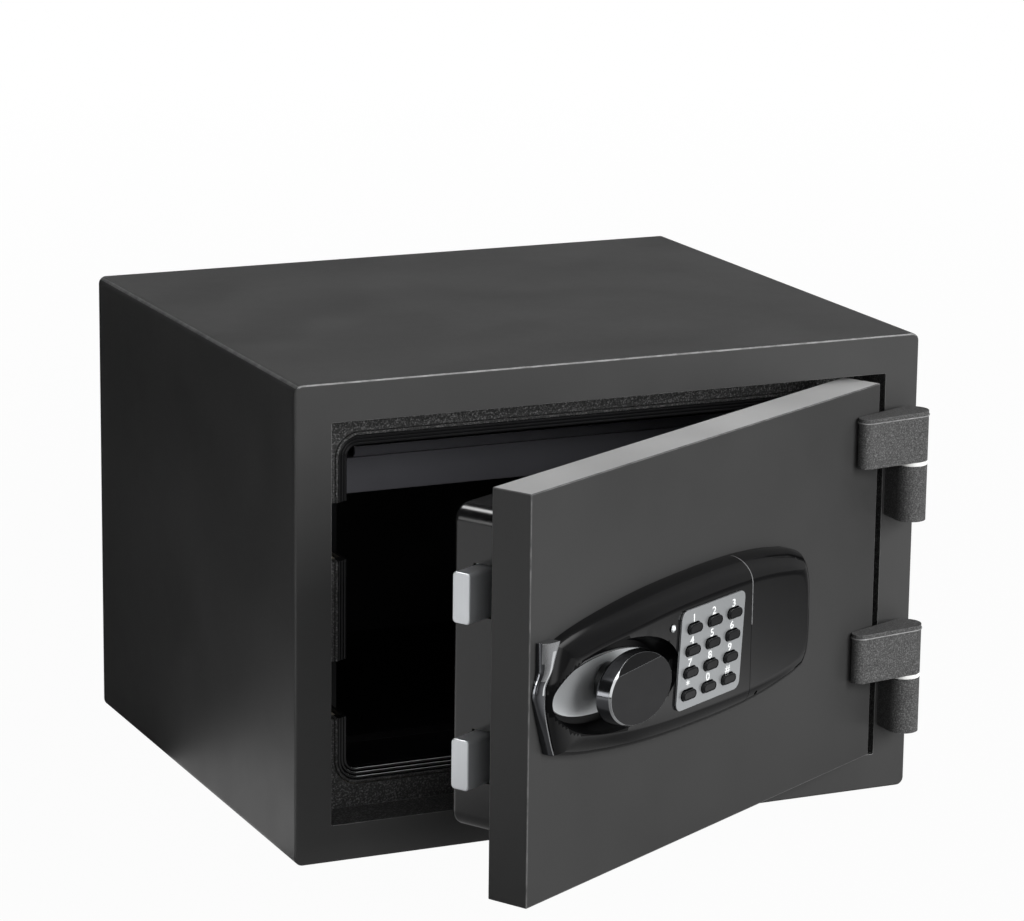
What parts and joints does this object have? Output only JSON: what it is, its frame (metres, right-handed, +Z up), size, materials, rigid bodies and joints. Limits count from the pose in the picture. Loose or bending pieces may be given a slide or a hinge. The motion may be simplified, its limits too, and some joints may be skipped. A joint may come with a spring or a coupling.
{
  "type": "fire-resistant safe",
  "caption": "Small fire-resistant safe with a hinged plug door ajar, keypad lock housing, oval knob, two square bolts, ridged liner mouth and inner drawer.",
  "frame": {"origin": "middle of the underside of the cabinet", "axes": "+X to the hinge side, -Y out of the front, +Z up"},
  "size_m": [0.424, 0.5606, 0.3],
  "materials": {
    "body_paint": "satin charcoal powder coat, slightly mottled",
    "textured_paint": "fine speckled texture paint, dark grey",
    "door_paint": "satin charcoal powder coat",
    "fire_fill": "cast cement and gypsum fill",
    "liner_plastic": "black moulded liner, finely textured",
    "gloss_black": "high-gloss black moulding",
    "drawer_plastic": "satin dark grey moulding",
    "satin_chrome": "satin chrome plate",
    "bright_chrome": "bright chrome plate",
    "zinc_steel": "zinc-plated steel",
    "nylon": "white nylon",
    "rubber": "black rubber",
    "key_rubber": "dark silicone rubber",
    "satin_silver": "satin silver plate",
    "circuit_board": "green solder mask",
    "lens_clear": "clear water-white lens",
    "cell_skin": "plain dark battery sleeve"
  },
  "bodies": {
    "cabinet": {"outer_shell": "body_paint", "front_frame": "body_paint", "back_panel": "body_paint", "body_insulation": "fire_fill", "compartment_liner": "liner_plastic", "bolt_keeper_upper": "zinc_steel", "bolt_keeper_lower": "zinc_steel", "drawer_runner_left": "zinc_steel", "drawer_runner_right": "zinc_steel", "hinge_knuckle_upper": "textured_paint", "hinge_knuckle_lower": "textured_paint", "hinge_pin_upper": "zinc_steel", "hinge_pin_lower": "zinc_steel", "hinge_washer_upper": "nylon", "hinge_washer_lower": "nylon"},
    "drawer_body": {"drawer": "drawer_plastic"},
    "knob_body": {"knob": "gloss_black", "spindle": "zinc_steel", "cam": "zinc_steel"},
    "bolt_body": {"bolt_upper": "satin_chrome", "bolt_lower": "satin_chrome", "bolt_carriage": "zinc_steel"},
    "plunger_body": {"solenoid_plunger": "satin_chrome"},
    "cover_body": {"battery_cover": "gloss_black"},
    "key_1_body": {"key_1": "key_rubber"},
    "key_2_body": {"key_2": "key_rubber"},
    "key_3_body": {"key_3": "key_rubber"},
    "key_4_body": {"key_4": "key_rubber"},
    "key_5_body": {"key_5": "key_rubber"},
    "key_6_body": {"key_6": "key_rubber"},
    "key_7_body": {"key_7": "key_rubber"},
    "key_8_body": {"key_8": "key_rubber"},
    "key_9_body": {"key_9": "key_rubber"},
    "key_star_body": {"key_star": "key_rubber"},
    "key_0_body": {"key_0": "key_rubber"},
    "key_hash_body": {"key_hash": "key_rubber"},
    "door": {"battery_cell_1": "cell_skin", "battery_cell_2": "cell_skin", "battery_cell_3": "cell_skin", "battery_cell_4": "cell_skin", "battery_tray": "liner_plastic", "bolt_guide_lower": "nylon", "bolt_guide_upper": "nylon", "circuit_board": "circuit_board", "door_back_plate": "door_paint", "door_insulation": "fire_fill", "door_plug_cover": "gloss_black", "door_seal": "rubber", "door_skin": "door_paint", "hinge_wing_lower": "textured_paint", "hinge_wing_upper": "textured_paint", "key_mat": "rubber", "keypad_plate": "satin_silver", "lock_housing": "gloss_black", "oval_inlay": "satin_silver", "plug_insulation": "fire_fill", "pull_grip": "bright_chrome", "solenoid": "zinc_steel", "status_lens": "lens_clear"}
  },
  "joints": [
    {"name": "door_swing", "type": "hinge", "parent": "cabinet", "child": "door", "pos_m": [0.2005, -0.1965, 0.1495], "axis": [0, 0, 1], "range_deg": [-29, 151]},
    {"name": "drawer_slide", "type": "slide", "parent": "cabinet", "child": "drawer_body", "axis": [0, -1, 0], "range_m": [0, 0.033]},
    {"name": "knob_turn", "type": "hinge", "parent": "door", "child": "knob_body", "pos_m": [-0.08558, -0.33736, 0.1485], "axis": [0.4848, -0.8746, 0], "range_deg": [0, 90]},
    {"name": "bolt_slide", "type": "slide", "parent": "door", "child": "bolt_body", "axis": [-0.8746, -0.4848, 0], "range_m": [0, 0.015]},
    {"name": "plunger_slide", "type": "slide", "parent": "door", "child": "plunger_body", "axis": [0, 0, 1], "range_m": [-0.004, 0]},
    {"name": "battery_cover_slide", "type": "slide", "parent": "door", "child": "cover_body", "axis": [0.8746, 0.4848, 0], "range_m": [0, 0.05]},
    {"name": "key_1_press", "type": "slide", "parent": "door", "child": "key_1_body", "axis": [-0.4848, 0.8746, 0], "range_m": [0, 0.001], "stiffness_N_per_m": 400},
    {"name": "key_2_press", "type": "slide", "parent": "door", "child": "key_2_body", "axis": [-0.4848, 0.8746, 0], "range_m": [0, 0.001], "stiffness_N_per_m": 400},
    {"name": "key_3_press", "type": "slide", "parent": "door", "child": "key_3_body", "axis": [-0.4848, 0.8746, 0], "range_m": [0, 0.001], "stiffness_N_per_m": 400},
    {"name": "key_4_press", "type": "slide", "parent": "door", "child": "key_4_body", "axis": [-0.4848, 0.8746, 0], "range_m": [0, 0.001], "stiffness_N_per_m": 400},
    {"name": "key_5_press", "type": "slide", "parent": "door", "child": "key_5_body", "axis": [-0.4848, 0.8746, 0], "range_m": [0, 0.001], "stiffness_N_per_m": 400},
    {"name": "key_6_press", "type": "slide", "parent": "door", "child": "key_6_body", "axis": [-0.4848, 0.8746, 0], "range_m": [0, 0.001], "stiffness_N_per_m": 400},
    {"name": "key_7_press", "type": "slide", "parent": "door", "child": "key_7_body", "axis": [-0.4848, 0.8746, 0], "range_m": [0, 0.001], "stiffness_N_per_m": 400},
    {"name": "key_8_press", "type": "slide", "parent": "door", "child": "key_8_body", "axis": [-0.4848, 0.8746, 0], "range_m": [0, 0.001], "stiffness_N_per_m": 400},
    {"name": "key_9_press", "type": "slide", "parent": "door", "child": "key_9_body", "axis": [-0.4848, 0.8746, 0], "range_m": [0, 0.001], "stiffness_N_per_m": 400},
    {"name": "key_star_press", "type": "slide", "parent": "door", "child": "key_star_body", "axis": [-0.4848, 0.8746, 0], "range_m": [0, 0.001], "stiffness_N_per_m": 400},
    {"name": "key_0_press", "type": "slide", "parent": "door", "child": "key_0_body", "axis": [-0.4848, 0.8746, 0], "range_m": [0, 0.001], "stiffness_N_per_m": 400},
    {"name": "key_hash_press", "type": "slide", "parent": "door", "child": "key_hash_body", "axis": [-0.4848, 0.8746, 0], "range_m": [0, 0.001], "stiffness_N_per_m": 400}
  ],
  "couplings": [
    {"joint": "knob_turn", "follows": "bolt_slide", "rad_per_m": 104.7}
  ]
}
